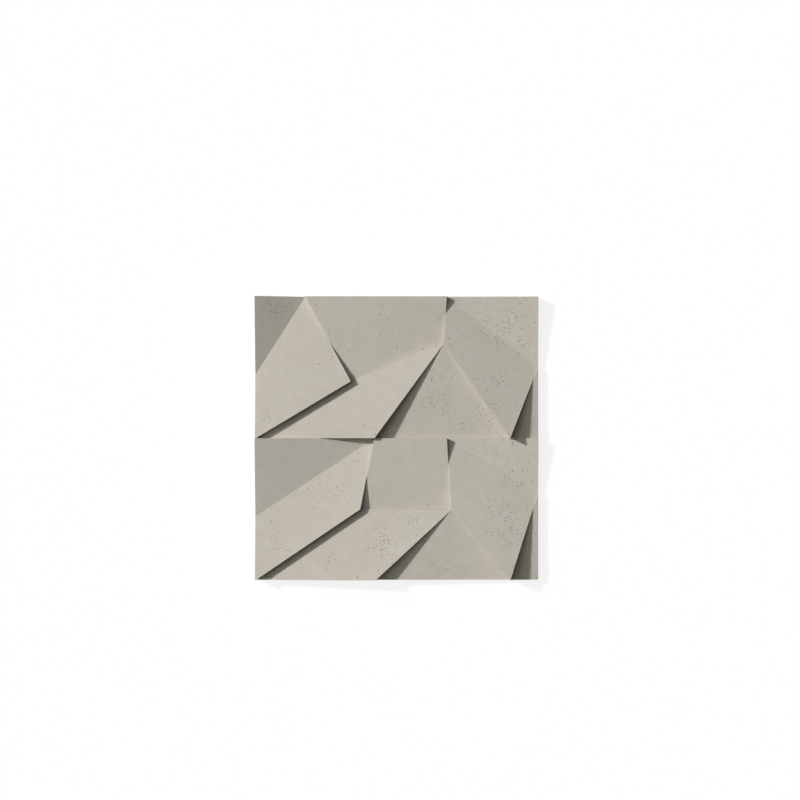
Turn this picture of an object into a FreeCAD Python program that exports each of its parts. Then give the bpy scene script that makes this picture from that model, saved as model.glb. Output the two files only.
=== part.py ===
"""Square wall panel, cast in concrete in one piece, with a relief of tilted facets in two rows.

The flat back lies on z = 0 and is centred on the origin. The relief looks along +Z, the panel's top
edge is at +Y and its right edge at +X. Every size is in millimetres.

Both rows have the same eight facets, on another plan. A facet is the top of an upright column of
concrete. Where two columns are equally thick along the line between them, their facets meet in a
crease. Elsewhere the thicker column shows as an upright step.
"""
import FreeCAD, Part
import os

# Outline of the panel, and the line between its two rows
PANEL_WIDTH = 600.0
PANEL_HEIGHT = 600.0
UPPER_ROW_HEIGHT = 300.0

# Thickness of the panel at the corners of the facets, the same in both rows
SPUR_THICKNESS = 52.0
VALLEY_THICKNESS = 22.0
KITE_TIP_THICKNESS = 45.0
KITE_FOOT_THICKNESS = 30.0
KITE_TAIL_THICKNESS = 38.0
FIELD_START_THICKNESS = 39.0
FIELD_END_THICKNESS = 37.0
RAMP_TAIL_THICKNESS = 22.0
PEAK_THICKNESS = 43.0
PEAK_FOOT_THICKNESS = 20.0
CLIFF_THICKNESS = 49.0
CLIFF_FOOT_THICKNESS = 26.0
NOTCH_THICKNESS = 24.0
FIN_THICKNESS = 55.0
FIN_FOOT_THICKNESS = 15.0
FIN_END_THICKNESS = 12.0
SHOULDER_THICKNESS = 29.0
HOLLOW_THICKNESS = 29.0
HOLLOW_END_THICKNESS = 17.0
HOLLOW_CORNER_THICKNESS = 18.0

# Plan sizes that both rows share: down from the row's top line, and in from the panel's side edges
VALLEY_DOWN = 166.0
KITE_TAIL_ACROSS = 2.0
NOTCH_FROM_RIGHT = 194.0
FIN_FROM_RIGHT = 61.0

# Plan of the upper row
UPPER_VALLEY_ACROSS = 106.0
UPPER_KITE_ACROSS = 203.0
UPPER_KITE_DOWN = 180.0
UPPER_CLIFF_ACROSS = 253.0
UPPER_PEAK_FROM_RIGHT = 201.0
UPPER_PEAK_DOWN = 101.0
UPPER_FIN_DOWN = 149.0

# Plan of the lower row
LOWER_VALLEY_ACROSS = 252.0
LOWER_KITE_ACROSS = 223.0
LOWER_KITE_DOWN = 150.0
LOWER_CLIFF_ACROSS = 255.0
LOWER_PEAK_FROM_RIGHT = 185.0
LOWER_PEAK_DOWN = 152.0
LOWER_FIN_DOWN = 117.0


def facet(corners):
    """Top of one column: a flat triangle, or a face ruled between two straight sides."""
    if len(corners) == 3:
        return Part.Face(Part.makePolygon(corners + corners[:1]))
    first, second, third, fourth = corners
    return Part.makeRuledSurface(Part.makeLine(first, second), Part.makeLine(fourth, third))


def column(*corners):
    """Block of concrete under one facet, with upright sides and its foot on the panel's back."""
    tops = list(corners)
    feet = [FreeCAD.Vector(top.x, top.y, 0) for top in tops]
    faces = [facet(tops), Part.Face(Part.makePolygon(feet + feet[:1]))]
    for here in range(len(tops)):
        before = here - 1
        side = [feet[before], feet[here], tops[here], tops[before], feet[before]]
        faces.append(Part.Face(Part.makePolygon(side)))
    shell = Part.Shell(faces)
    shell.sewShape()
    return Part.Solid(shell)


def row_of_columns(top, height, valley_across, kite, cliff_across, peak, fin_down):
    """The columns of one row, whose top line lies `top` below the panel's top edge."""

    def corner(across, down, thickness):
        return FreeCAD.Vector(across - PANEL_WIDTH / 2, PANEL_HEIGHT / 2 - top - down, thickness)

    notch_across = PANEL_WIDTH - NOTCH_FROM_RIGHT
    fin_across = PANEL_WIDTH - FIN_FROM_RIGHT
    valley_top = corner(valley_across, 0, VALLEY_THICKNESS)
    valley_side = corner(0, VALLEY_DOWN, VALLEY_THICKNESS)
    kite_tail = corner(KITE_TAIL_ACROSS, height, KITE_TAIL_THICKNESS)
    kite_foot = corner(*kite, KITE_FOOT_THICKNESS)
    high_peak = corner(*peak, PEAK_THICKNESS)
    notch = corner(notch_across, 0, NOTCH_THICKNESS)
    fin_end = corner(PANEL_WIDTH, fin_down, FIN_END_THICKNESS)

    spur = column(corner(0, 0, SPUR_THICKNESS), valley_top, valley_side)
    kite_blade = column(valley_top, corner(*kite, KITE_TIP_THICKNESS), kite_tail, valley_side)
    kite_edge = column(valley_side, kite_tail, corner(0, height, KITE_TAIL_THICKNESS))
    field = column(
        corner(valley_across, 0, FIELD_START_THICKNESS),
        corner(notch_across, 0, FIELD_END_THICKNESS),
        corner(*peak, PEAK_FOOT_THICKNESS),
        kite_foot,
    )
    ramp = column(
        kite_foot,
        high_peak,
        corner(cliff_across, height, CLIFF_THICKNESS),
        corner(KITE_TAIL_ACROSS, height, RAMP_TAIL_THICKNESS),
    )
    apron = column(
        high_peak,
        corner(fin_across, height, FIN_FOOT_THICKNESS),
        corner(cliff_across, height, CLIFF_FOOT_THICKNESS),
    )
    fin = column(notch, fin_end, corner(fin_across, height, FIN_THICKNESS), high_peak)
    shoulder = column(notch, corner(PANEL_WIDTH, 0, SHOULDER_THICKNESS), fin_end)
    hollow = column(
        corner(PANEL_WIDTH, fin_down, HOLLOW_END_THICKNESS),
        corner(PANEL_WIDTH, height, HOLLOW_CORNER_THICKNESS),
        corner(fin_across, height, HOLLOW_THICKNESS),
    )
    return [spur, kite_blade, kite_edge, field, ramp, apron, fin, shoulder, hollow]


upper_row = row_of_columns(
    top=0,
    height=UPPER_ROW_HEIGHT,
    valley_across=UPPER_VALLEY_ACROSS,
    kite=(UPPER_KITE_ACROSS, UPPER_KITE_DOWN),
    cliff_across=UPPER_CLIFF_ACROSS,
    peak=(PANEL_WIDTH - UPPER_PEAK_FROM_RIGHT, UPPER_PEAK_DOWN),
    fin_down=UPPER_FIN_DOWN,
)
lower_row = row_of_columns(
    top=UPPER_ROW_HEIGHT,
    height=PANEL_HEIGHT - UPPER_ROW_HEIGHT,
    valley_across=LOWER_VALLEY_ACROSS,
    kite=(LOWER_KITE_ACROSS, LOWER_KITE_DOWN),
    cliff_across=LOWER_CLIFF_ACROSS,
    peak=(PANEL_WIDTH - LOWER_PEAK_FROM_RIGHT, LOWER_PEAK_DOWN),
    fin_down=LOWER_FIN_DOWN,
)

columns = upper_row + lower_row
panel = columns[0].multiFuse(columns[1:]).removeSplitter().Solids[0]
print("valid", panel.isValid(), "faces", len(panel.Faces), "volume", round(panel.Volume),
      "of the columns", round(sum(block.Volume for block in columns)))

os.makedirs("parts", exist_ok=True)
panel.exportStep("parts/wall_panel.step")
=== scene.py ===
# %% [markdown]
# The object is a square wall panel, cast in concrete in one piece. Its shape is already right in the
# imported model, which is loaded here as a fixed frame in metres: the back lies on z = 0, the relief
# looks up along +Z and the panel's top edge is at +Y. Blender adds what a casting has and a solid
# model lacks: softened arrises, air holes and the surface of the concrete.

import math
import random

import bmesh
import bpy
from mathutils import Matrix, Vector
from mathutils.bvhtree import BVHTree


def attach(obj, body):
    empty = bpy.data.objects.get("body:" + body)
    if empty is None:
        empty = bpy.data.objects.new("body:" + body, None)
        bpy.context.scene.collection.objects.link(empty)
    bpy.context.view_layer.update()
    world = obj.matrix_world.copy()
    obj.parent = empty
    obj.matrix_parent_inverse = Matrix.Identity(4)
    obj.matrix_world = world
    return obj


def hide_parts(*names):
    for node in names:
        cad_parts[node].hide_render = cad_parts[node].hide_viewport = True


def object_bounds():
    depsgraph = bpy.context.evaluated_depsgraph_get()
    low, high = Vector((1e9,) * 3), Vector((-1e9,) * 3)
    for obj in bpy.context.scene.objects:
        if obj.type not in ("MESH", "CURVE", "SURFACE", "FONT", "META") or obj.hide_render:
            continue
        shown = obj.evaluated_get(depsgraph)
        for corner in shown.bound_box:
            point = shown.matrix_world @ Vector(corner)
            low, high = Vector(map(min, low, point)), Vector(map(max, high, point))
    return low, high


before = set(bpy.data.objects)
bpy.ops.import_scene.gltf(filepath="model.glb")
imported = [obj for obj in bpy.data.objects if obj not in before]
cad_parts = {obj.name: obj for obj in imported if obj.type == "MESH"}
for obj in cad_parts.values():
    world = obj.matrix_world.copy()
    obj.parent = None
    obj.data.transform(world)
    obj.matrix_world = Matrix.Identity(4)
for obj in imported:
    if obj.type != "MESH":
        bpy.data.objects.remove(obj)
CAD_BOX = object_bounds()
MM = 0.001

cad_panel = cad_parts["wall_panel"]
panel_size = CAD_BOX[1] - CAD_BOX[0]
print("panel in mm", [round(side / MM, 1) for side in panel_size])

# %% [markdown]
# The photograph looks at the panel square on, from far away. The panel lies on its back here, so the
# camera hangs above it and looks straight down. High corners lean outwards a little in the
# photograph, and that lean gives the camera's distance. The panel sits a little below the middle of
# the picture, which is a small shift of the lens and not a tilt, because its sides stay parallel.

# %% Camera
IMAGE_SIDE_PX = 800
PANEL_SIDE_PX = 283.5
PANEL_MIDDLE_PX = (396.8, 438.2)
CAMERA_DISTANCE = 4.6
RELIEF_MIDDLE_HEIGHT = 30 * MM
SENSOR_WIDTH = 36.0

picture_width = panel_size.x * IMAGE_SIDE_PX / PANEL_SIDE_PX
camera_data = bpy.data.cameras.new("camera")
camera_data.sensor_width = SENSOR_WIDTH
camera_data.lens = SENSOR_WIDTH * CAMERA_DISTANCE / picture_width
camera_data.shift_x = 0.5 - PANEL_MIDDLE_PX[0] / IMAGE_SIDE_PX
camera_data.shift_y = PANEL_MIDDLE_PX[1] / IMAGE_SIDE_PX - 0.5
camera = bpy.data.objects.new("camera", camera_data)
camera.location = (0, 0, RELIEF_MIDDLE_HEIGHT + CAMERA_DISTANCE)
bpy.context.scene.collection.objects.link(camera)
bpy.context.scene.camera = camera
print("lens in mm", round(camera_data.lens, 1),
      "shift", round(camera_data.shift_x, 4), round(camera_data.shift_y, 4))

# %% [markdown]
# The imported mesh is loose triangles. A copy of it is merged, and triangles that lie in one plane are
# joined, so that each flat facet, each upright step and the back are one face again. Modelling the
# relief afresh would risk other corners than the solid has, so the copy keeps them.

# %% Copy of the casting, with its flat faces whole
WELD = 0.01 * MM
FLAT_ANGLE = math.radians(0.01)
UPRIGHT_LIMIT = 0.3


def is_upright(face):
    """Whether a face stands up, as the steps and sides do: its normal hardly points up or down."""
    return abs(face.normal.z) < UPRIGHT_LIMIT


casting = bmesh.new()
casting.from_mesh(cad_panel.data)
bmesh.ops.remove_doubles(casting, verts=casting.verts, dist=WELD)
flat_edges = [edge for edge in casting.edges if edge.calc_face_angle() < FLAT_ANGLE]
bmesh.ops.dissolve_edges(casting, edges=flat_edges, use_verts=False, use_face_split=False)
print("casting faces", len(casting.faces), "of them upright", sum(map(is_upright, casting.faces)))

# %% [markdown]
# Eight of the facets have four corners that don't lie in one plane, so they are slightly twisted, as
# a board is that has warped. Their triangles come from a mesher and lie anyhow. A mould maker would
# rule such a face with straight lines from side to side, and that is done here: the triangles of a
# twisted facet are joined, and the face is then cut by straight lines both ways. The even grid shades
# smoothly, and leaves room along the edges for rounding them.

# %% Finding the twisted facets
TWIST_ANGLE = math.radians(12)


def twisted_facets(mesh):
    """Groups of top triangles that join at small angles, one group for each twisted facet."""
    left = {face for face in mesh.faces if face.normal.z > 0 and not is_upright(face)}
    groups = []
    for start in list(mesh.faces):
        if start not in left:
            continue
        left.remove(start)
        group = [start]
        for face in group:
            for edge in face.edges:
                for other in edge.link_faces:
                    if other in left and edge.calc_face_angle() < TWIST_ANGLE:
                        left.remove(other)
                        group.append(other)
        if len(group) > 1:
            groups.append(group)
    return groups


twisted = twisted_facets(casting)
print("twisted facets", len(twisted))

# %% Ruling a face with straight lines
NEAR_VERTEX = 3 * MM


def side_between(face, start, end, corners):
    """The face's outline from one corner to the next, as vertices, whichever way round it runs."""
    outline = [loop.vert for loop in face.loops]
    for ring in (outline, outline[::-1]):
        first = ring.index(start)
        ring = ring[first:] + ring[:first]
        side = ring[:ring.index(end) + 1]
        if not any(corner in side[1:-1] for corner in corners):
            return side


def vertex_at(side, share):
    """The vertex at a share of a straight side's length. One is added where none is near."""
    target = side[0].co.lerp(side[-1].co, share)
    nearest = min(side[1:-1], key=lambda vert: (vert.co - target).length, default=None)
    if nearest is not None and (nearest.co - target).length < NEAR_VERTEX:
        return nearest
    span = (side[-1].co - side[0].co).normalized()
    along = [(vert.co - side[0].co).dot(span) for vert in side]
    reach = (target - side[0].co).dot(span)
    place = next(index for index in range(1, len(side)) if along[index] > reach)
    before, after = side[place - 1], side[place]
    edge = next(edge for edge in before.link_edges if after in edge.verts)
    part = (reach - along[place - 1]) / (along[place] - along[place - 1])
    added = bmesh.utils.edge_split(edge, before, part)[1]
    side.insert(place, added)
    return added


def face_with(verts):
    """The face that has all these vertices."""
    return next(face for face in verts[0].link_faces if all(vert in face.verts for vert in verts))


def rule_face(face, corners, lines):
    """Cuts a four-cornered face into strips by straight lines, and gives each with its corners."""
    first = side_between(face, corners[0], corners[1], corners)
    second = side_between(face, corners[3], corners[2], corners)
    ends = [(first[0], second[0])]
    ends += [(vertex_at(first, n / lines), vertex_at(second, n / lines)) for n in range(1, lines)]
    ends += [(first[-1], second[-1])]
    strips = []
    for here, there in zip(ends, ends[1:]):
        if there != ends[-1]:
            bmesh.utils.face_split(face_with(here + there), *there)
        strips.append((face_with(here + there), [here[0], there[0], there[1], here[1]]))
    return strips


# %% Twisted facets, ruled both ways
RULED_LINES = 10
FACET_CORNERS = 4

for triangles in twisted:
    facet = bmesh.ops.dissolve_faces(casting, faces=triangles, use_verts=False)["region"][0]
    # Other vertices of the outline lie along its straight sides, where the angle is flat.
    sharpest = sorted(facet.loops, key=lambda loop: loop.calc_angle())[:FACET_CORNERS]
    corners = [loop.vert for loop in facet.loops if loop in sharpest]
    for strip, strip_corners in rule_face(facet, corners, RULED_LINES):
        rule_face(strip, strip_corners[1:] + strip_corners[:1], RULED_LINES)
print("casting faces after ruling", len(casting.faces))

# %% [markdown]
# A casting leaves its mould with arrises that are a little soft: wet concrete doesn't fill a sharp
# corner quite to its point, and handling rubs it. A bevel of a third of a millimetre gives that. A
# step that runs out to nothing has no room for it at its tip, so there the arris is split a little
# before the tip and only the longer part is rounded, which also is how such a tip looks on the real
# thing.

# %% Softened arrises
ARRIS_ANGLE = math.radians(25)
ARRIS_ROUNDING = 0.35 * MM
ARRIS_SEGMENTS = 2
TIP_ANGLE = math.radians(40)
TIP_LENGTH = 8 * MM
SHORT_EDGE = 3.5 * MM


def is_arris(edge):
    """Whether an edge is one that sticks out, and is sharp and long enough to be rounded."""
    return edge.calc_face_angle_signed() > ARRIS_ANGLE and edge.calc_length() > SHORT_EDGE


def is_tip(vert):
    """Whether the steps at this vertex are too slim or too short to be rounded."""
    slim = any(loop.calc_angle() < TIP_ANGLE for loop in vert.link_loops if is_upright(loop.face))
    return slim or any(edge.calc_length() < SHORT_EDGE for edge in vert.link_edges)


tips = [vert for vert in casting.verts if is_tip(vert)]
rounded = []
for arris in [edge for edge in casting.edges if is_arris(edge)]:
    for tip in tips:
        if tip in arris.verts and arris.calc_length() > TIP_LENGTH:
            far_end = arris.other_vert(tip)
            middle = bmesh.utils.edge_split(arris, tip, TIP_LENGTH / arris.calc_length())[1]
            arris = next(edge for edge in middle.link_edges if far_end in edge.verts)
    if not any(tip in arris.verts for tip in tips):
        rounded.append(arris)
bmesh.ops.bevel(casting, geom=rounded, affect="EDGES", offset=ARRIS_ROUNDING, offset_type="OFFSET",
                segments=ARRIS_SEGMENTS, profile=0.5, material=-1, clamp_overlap=False, loop_slide=True)
print("arrises rounded", len(rounded), "faces", len(casting.faces))

# %% [markdown]
# Air that is trapped against the mould leaves small holes in the face of the concrete, which builders
# call bug holes. On this panel they are one to three millimetres wide and come in loose patches, with
# clean concrete between. Each patch is given here by its middle, its reach and its number of holes.
# The holes are thrown at it from outside at random, thickest in the middle, and land wherever they
# meet the casting. The seed is fixed, so they land in the same places each time.

# %% Places of the air holes
HOLE_SEED = 7
HOLE_GAP = 1.3 * MM
# Smallest, largest and most usual radius, in mm
HOLE_RADII = (0.65, 1.6, 0.87)
# Middle of the patch from the panel's middle, its reach both ways (all in mm), and the number of holes
HOLE_PATCHES = [
    (-251, 273, 17, 9, 52),
    (233, 262, 22, 14, 66),
    (-14, 225, 29, 35, 28),
    (214, 220, 20, 15, 38),
    (-133, 206, 22, 30, 14),
    (92, 198, 25, 40, 28),
    (266, 194, 16, 23, 44),
    (207, 107, 20, 18, 41),
    (74, 84, 20, 27, 68),
    (196, 52, 16, 17, 84),
    (-270, 50, 9, 8, 18),
    (135, 33, 18, 23, 30),
    (224, -4, 30, 19, 48),
    (-90, -8, 40, 22, 44),
    (92, -56, 7, 6, 9),
    (258, -94, 23, 27, 51),
    (-141, -114, 27, 25, 32),
    (226, -155, 23, 16, 56),
    (33, -184, 17, 18, 26),
    (226, -205, 22, 11, 62),
    (-262, -218, 13, 47, 16),
    (-35, -225, 16, 22, 76),
    (-145, -260, 6, 16, 12),
    (82, -278, 33, 9, 18),
]
STRAY_HOLES = 60
SIDE_HOLES = 36
# Lowest and highest place of a hole on the panel's sides above its back, in mm
SIDE_HOLE_HEIGHTS = (3, 20)
OUTSIDE = 1.0

draw = random.Random(HOLE_SEED)
surface = BVHTree.FromBMesh(casting)
half_width = panel_size.x / 2
down = Vector((0, 0, -1))
holes = []


def add_hole(start, direction):
    """Notes a hole where a line from outside meets the casting, unless another hole is too near."""
    place, normal, _, _ = surface.ray_cast(start, direction)
    radius = draw.triangular(*HOLE_RADII) * MM
    if place is None:
        return
    if all((place - other).length > radius + size + HOLE_GAP for other, _, size in holes):
        holes.append((place, normal, radius))


for middle_x, middle_y, reach_x, reach_y, count in HOLE_PATCHES:
    for _ in range(count):
        x, y = draw.gauss(middle_x, reach_x) * MM, draw.gauss(middle_y, reach_y) * MM
        add_hole(Vector((x, y, OUTSIDE)), down)
for _ in range(STRAY_HOLES):
    x, y = draw.uniform(-half_width, half_width), draw.uniform(-half_width, half_width)
    add_hole(Vector((x, y, OUTSIDE)), down)
for turn in range(SIDE_HOLES):
    side = Matrix.Rotation(turn * math.pi / 2, 3, "Z")
    along, height = draw.uniform(-half_width, half_width), draw.uniform(*SIDE_HOLE_HEIGHTS) * MM
    add_hole(side @ Vector((OUTSIDE, along, height)), side @ Vector((-1, 0, 0)))
print("air holes", len(holes))

# %% [markdown]
# The holes could be painted on as dark dots, but real hollows catch the light on one side and stay
# dark on the other from any angle, so each is cut out of the casting. A trapped bubble is never quite
# round. So each hole starts as a ball of a few dozen faces, whose corners are pushed in and out a
# little, and which is then stretched, turned and sunk into the surface. One Boolean takes all the
# balls away at once.

# %% Lumpy balls in the shape of the holes
HOLE_DETAIL = 2
# Lowest and highest share of a ball's radius for each change to its shape and place
HOLE_WIDTHS = (0.75, 1.15)
HOLE_DEPTHS = (1.05, 1.75)
HOLE_SINKINGS = (0.2, 0.5)
HOLE_LUMPS = (0.82, 1.18)

balls = bmesh.new()
balls_mesh = bpy.data.meshes.new("balls")
for place, normal, radius in holes:
    widths = draw.uniform(*HOLE_WIDTHS), draw.uniform(*HOLE_WIDTHS), draw.uniform(*HOLE_DEPTHS)
    stretch = Matrix.Diagonal(widths).to_4x4()
    spin = Matrix.Rotation(draw.uniform(0, math.tau), 4, "Z")
    upright = normal.to_track_quat("Z", "Y").to_matrix().to_4x4()
    sunk = Matrix.Translation(place - normal * radius * draw.uniform(*HOLE_SINKINGS))
    ball = bmesh.new()
    bmesh.ops.create_icosphere(ball, subdivisions=HOLE_DETAIL, radius=radius)
    for corner in ball.verts:
        corner.co *= draw.uniform(*HOLE_LUMPS)
    bmesh.ops.transform(ball, verts=ball.verts, matrix=sunk @ upright @ spin @ stretch)
    # Balls made one by one in a mesh that grows take far longer, so each is made alone and added.
    ball.to_mesh(balls_mesh)
    ball.free()
    balls.from_mesh(balls_mesh)
balls.to_mesh(balls_mesh)
print("faces of all balls", len(balls.faces))

# %% Holes cut out of the casting
bmesh.ops.triangulate(casting, faces=casting.faces)
casting_mesh = bpy.data.meshes.new("casting")
casting.to_mesh(casting_mesh)
block = bpy.data.objects.new("block", casting_mesh)
cutter = bpy.data.objects.new("cutter", balls_mesh)
for each in (block, cutter):
    bpy.context.scene.collection.objects.link(each)
cut = block.modifiers.new("air holes", "BOOLEAN")
cut.operation = "DIFFERENCE"
cut.solver = "MANIFOLD"
cut.object = cutter
bpy.context.view_layer.update()
cut_block = block.evaluated_get(bpy.context.evaluated_depsgraph_get())
panel_mesh = bpy.data.meshes.new_from_object(cut_block)
for each in (block, cutter):
    bpy.data.objects.remove(each)
print("faces after cutting", len(panel_mesh.polygons))

# %% The finished panel
SLIVER = 0.002 * MM
SHARP_ANGLE = math.radians(2)

panel_mesh.name = "panel"
cleaned = bmesh.new()
cleaned.from_mesh(panel_mesh)
bmesh.ops.dissolve_degenerate(cleaned, dist=SLIVER, edges=cleaned.edges)
cleaned.to_mesh(panel_mesh)
panel_mesh.polygons.foreach_set("use_smooth", [True] * len(panel_mesh.polygons))
panel_mesh.set_sharp_from_angle(angle=SHARP_ANGLE)
panel = bpy.data.objects.new("panel", panel_mesh)
bpy.context.scene.collection.objects.link(panel)
for mesh in (casting, balls, cleaned):
    mesh.free()
print("panel faces", len(panel_mesh.polygons))

# %% [markdown]
# A material is a small network of nodes. Two helpers make it short to write: one turns a colour from
# the usual hex notation into the linear values that the sockets take, and one adds a node.

# %% Helpers for materials


def linear(hex_colour):
    """An sRGB hex colour as the linear RGBA that Blender's sockets take."""
    shares = [int(hex_colour[i:i + 2], 16) / 255 for i in (1, 3, 5)]
    return [s / 12.92 if s <= 0.04045 else ((s + 0.055) / 1.055) ** 2.4 for s in shares] + [1.0]


def add_node(material, kind, inputs=None, **settings):
    """Adds a node, sets it up, and gives each named input a value or a link."""
    made = material.node_tree.nodes.new("ShaderNode" + kind)
    for name, value in settings.items():
        setattr(made, name, value)
    for name, value in (inputs or {}).items():
        if isinstance(value, bpy.types.NodeSocket):
            material.node_tree.links.new(value, made.inputs[name])
        else:
            made.inputs[name].default_value = value
    return made


# A Mix node has inputs for every kind of value. These are its share, its two colours and its result.
MIX_SHARE, MIX_FIRST, MIX_SECOND, MIX_RESULT = 0, 6, 7, 2
print("grey", "#808080", "is", round(linear("#808080")[0], 3), "in linear light")

# %% [markdown]
# The concrete is cast against a smooth mould and left as it comes out: matte, pale grey-beige, a
# little cloudy where the mix dried unevenly, with small stains, and with the sand of the mix just
# showing. A photograph could be wrapped over the panel, but a pattern made by nodes has no seams and
# follows the casting into its holes. Every pattern reads Object coordinates, so its scale is a real
# size: one over the size in metres.

# %% Concrete, cast smooth: patterns and colour
CLOUD_SIZE = 140 * MM
STAIN_SIZE = 22 * MM
# The sand is under a millimetre, and is drawn coarser here so that it shows in the picture.
SAND_SIZE = 2.6 * MM
CLOUD_GREY, CLOUD_PALE = "#B3AEA2", "#BBB6AC"
STAIN_COLOUR, STAIN_SHARE = "#A39D8F", 0.28
SAND_COLOUR, SAND_SHARE = "#CCC6BB", 0.26

concrete = bpy.data.materials.new("concrete_cast_smooth")
concrete.use_nodes = True
concrete.node_tree.nodes.clear()
coordinates = add_node(concrete, "TexCoord")
place = coordinates.outputs["Object"]
cloud = add_node(concrete, "TexNoise", {
    "Vector": place, "Scale": 1 / CLOUD_SIZE, "Detail": 3.0, "Roughness": 0.5})
stain = add_node(concrete, "TexNoise", {
    "Vector": place, "Scale": 1 / STAIN_SIZE, "Detail": 4.0, "Roughness": 0.6})
sand = add_node(concrete, "TexNoise", {
    "Vector": place, "Scale": 1 / SAND_SIZE, "Detail": 2.0, "Roughness": 0.7})
stain_share = add_node(concrete, "MapRange", {
    "Value": stain.outputs[0], "From Min": 0.35, "From Max": 0.7, "To Min": 0.0, "To Max": STAIN_SHARE})
sand_share = add_node(concrete, "MapRange", {
    "Value": sand.outputs[0], "From Min": 0.3, "From Max": 0.7, "To Min": 0.0, "To Max": SAND_SHARE})
cloudy = add_node(concrete, "Mix", {
    MIX_SHARE: cloud.outputs[0],
    MIX_FIRST: linear(CLOUD_GREY),
    MIX_SECOND: linear(CLOUD_PALE),
}, data_type="RGBA")
stained = add_node(concrete, "Mix", {
    MIX_SHARE: stain_share.outputs[0],
    MIX_FIRST: cloudy.outputs[MIX_RESULT],
    MIX_SECOND: linear(STAIN_COLOUR),
}, data_type="RGBA")
sandy = add_node(concrete, "Mix", {
    MIX_SHARE: sand_share.outputs[0],
    MIX_FIRST: stained.outputs[MIX_RESULT],
    MIX_SECOND: linear(SAND_COLOUR),
}, data_type="RGBA")
print("sizes in mm: clouds", CLOUD_SIZE / MM, "stains", STAIN_SIZE / MM, "sand", SAND_SIZE / MM)

# %% [markdown]
# To the eye such concrete has next to no gloss. Its skin is full of fine grains, and in their little
# hills and dips the light evens out, so facets of different tilt look more alike than on smooth
# plaster. The shader's Diffuse Roughness does that. The upright faces slid along the mould when the
# panel was drawn out of it, and are smoother, so there it falls to nothing.

# %% Concrete, cast smooth: surface
GRAIN = 0.45
UPRIGHT_Z, FACET_Z = 0.2, 0.8
GLOSS_ROUGHNESS = (0.78, 0.9)
SAND_HEIGHT = 0.2 * MM

facing = add_node(concrete, "SeparateXYZ", {"Vector": coordinates.outputs["Normal"]})
grain = add_node(concrete, "MapRange", {
    "Value": facing.outputs["Z"], "From Min": UPRIGHT_Z, "From Max": FACET_Z,
    "To Min": 0.0, "To Max": GRAIN})
roughness = add_node(concrete, "MapRange", {
    "Value": stain.outputs[0], "From Min": 0.3, "From Max": 0.7,
    "To Min": GLOSS_ROUGHNESS[0], "To Max": GLOSS_ROUGHNESS[1]})
bump = add_node(concrete, "Bump", {"Strength": 0.4, "Distance": SAND_HEIGHT, "Height": sand.outputs[0]})
skin = add_node(concrete, "BsdfPrincipled", {
    "Base Color": sandy.outputs[MIX_RESULT],
    "Roughness": roughness.outputs[0],
    "IOR": 1.5,
    "Specular IOR Level": 0.1,
    "Diffuse Roughness": grain.outputs[0],
    "Normal": bump.outputs[0],
})
add_node(concrete, "OutputMaterial", {"Surface": skin.outputs[0]})
panel.data.materials.clear()
panel.data.materials.append(concrete)
print("concrete nodes", len(concrete.node_tree.nodes))

# %% [markdown]
# The panel lies on a plain floor of white paper. To the camera most of the floor is plain white, as
# in the photograph, but a part of what it shows is still the light that falls on it, so the panel's
# shadow stays. The rest of the scene only gets the light that real paper would send back.

# %% Floor
FLOOR_SIDE = 8.0
FLOOR_GAP = 0.1 * MM
WHITE_SHARE = 0.85


def seen_ray(material):
    """A socket that is 1 where a surface is seen, also in gloss or glass, and else 0."""
    ray = add_node(material, "LightPath")
    direct = ray.outputs["Is Camera Ray"]
    mirrored = ray.outputs["Is Glossy Ray"]
    seen = add_node(material, "Math", {0: direct, 1: mirrored}, operation="MAXIMUM").outputs[0]
    through = ray.outputs["Is Transmission Ray"]
    return add_node(material, "Math", {0: seen, 1: through}, operation="MAXIMUM").outputs[0]


sheet = bmesh.new()
bmesh.ops.create_grid(sheet, x_segments=1, y_segments=1, size=FLOOR_SIDE / 2)
bmesh.ops.translate(sheet, verts=sheet.verts, vec=(0, 0, -FLOOR_GAP))
floor_mesh = bpy.data.meshes.new("floor")
sheet.to_mesh(floor_mesh)
sheet.free()
floor = bpy.data.objects.new("floor", floor_mesh)
bpy.context.scene.collection.objects.link(floor)

paper = bpy.data.materials.new("paper_floor_white")
paper.use_nodes = True
paper.node_tree.nodes.clear()
share = add_node(paper, "Math", {0: seen_ray(paper), 1: WHITE_SHARE}, operation="MULTIPLY")
lit = add_node(paper, "BsdfDiffuse", {"Color": linear("#F4F4F2")})
white = add_node(paper, "Emission", {"Color": linear("#FFFFFF"), "Strength": 1.0})
mixed = add_node(paper, "MixShader", {0: share.outputs[0], 1: lit.outputs[0], 2: white.outputs[0]})
add_node(paper, "OutputMaterial", {"Surface": mixed.outputs[0]})
floor_mesh.materials.append(paper)
print("floor side", FLOOR_SIDE, "m")

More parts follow.
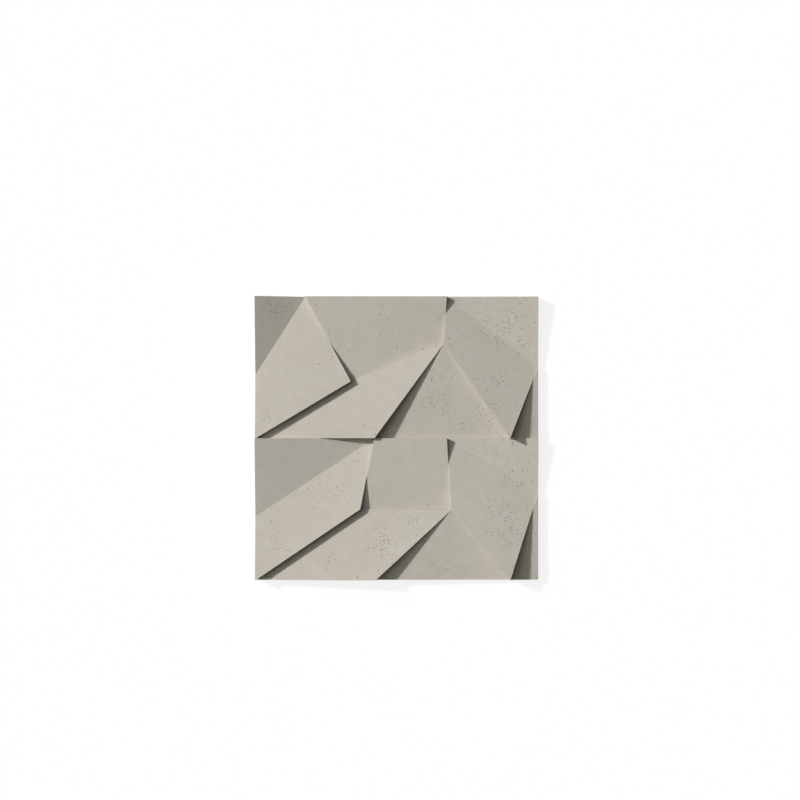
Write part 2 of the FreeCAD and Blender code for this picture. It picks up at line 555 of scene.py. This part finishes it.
# %% [markdown]
# In the photograph one lamp stands far to the upper left and low, and throws the short crisp shadows
# that show the relief. A broad soft light comes from the same side, and a weak even light fills the
# rest. A sun is a lamp that is far away: its angle sets how crisp the shadows are. The world is white
# where it is seen, and otherwise gives only the weak even light.

# %% Light
LIGHT_BEARING = math.radians(23.2)
KEY_ELEVATION = math.radians(35.2)
KEY_WIDTH = math.radians(4.4)
KEY_STRENGTH = 3.94
BROAD_ELEVATION = math.radians(50)
BROAD_WIDTH = math.radians(60)
BROAD_STRENGTH = 1.17
FILL_STRENGTH = 0.085


def add_sun(name, elevation, width, strength):
    """A far lamp at the upper left, whose light falls on the panel at that elevation."""
    data = bpy.data.lights.new(name, "SUN")
    data.angle = width
    data.energy = strength
    lamp = bpy.data.objects.new(name, data)
    travel = Vector((math.cos(LIGHT_BEARING) * math.cos(elevation),
                     -math.sin(LIGHT_BEARING) * math.cos(elevation),
                     -math.sin(elevation)))
    lamp.rotation_mode = "QUATERNION"
    lamp.rotation_quaternion = travel.to_track_quat("-Z", "Y")
    bpy.context.scene.collection.objects.link(lamp)


add_sun("key", KEY_ELEVATION, KEY_WIDTH, KEY_STRENGTH)
add_sun("broad", BROAD_ELEVATION, BROAD_WIDTH, BROAD_STRENGTH)

world = bpy.data.worlds.new("studio")
bpy.context.scene.world = world
world.use_nodes = True
world.node_tree.nodes.clear()
fill = add_node(world, "Background", {"Color": linear("#FFFFFF"), "Strength": FILL_STRENGTH})
backdrop = add_node(world, "Background", {"Color": linear("#FFFFFF"), "Strength": 1.0})
either = add_node(world, "MixShader", {0: seen_ray(world), 1: fill.outputs[0], 2: backdrop.outputs[0]})
add_node(world, "OutputWorld", {"Surface": either.outputs[0]})
bpy.context.scene.view_settings.view_transform = "Standard"
print("lamps", [lamp.name for lamp in bpy.data.lights])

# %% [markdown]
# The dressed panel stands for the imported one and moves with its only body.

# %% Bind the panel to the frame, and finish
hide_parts("wall_panel")
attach(panel, "root")
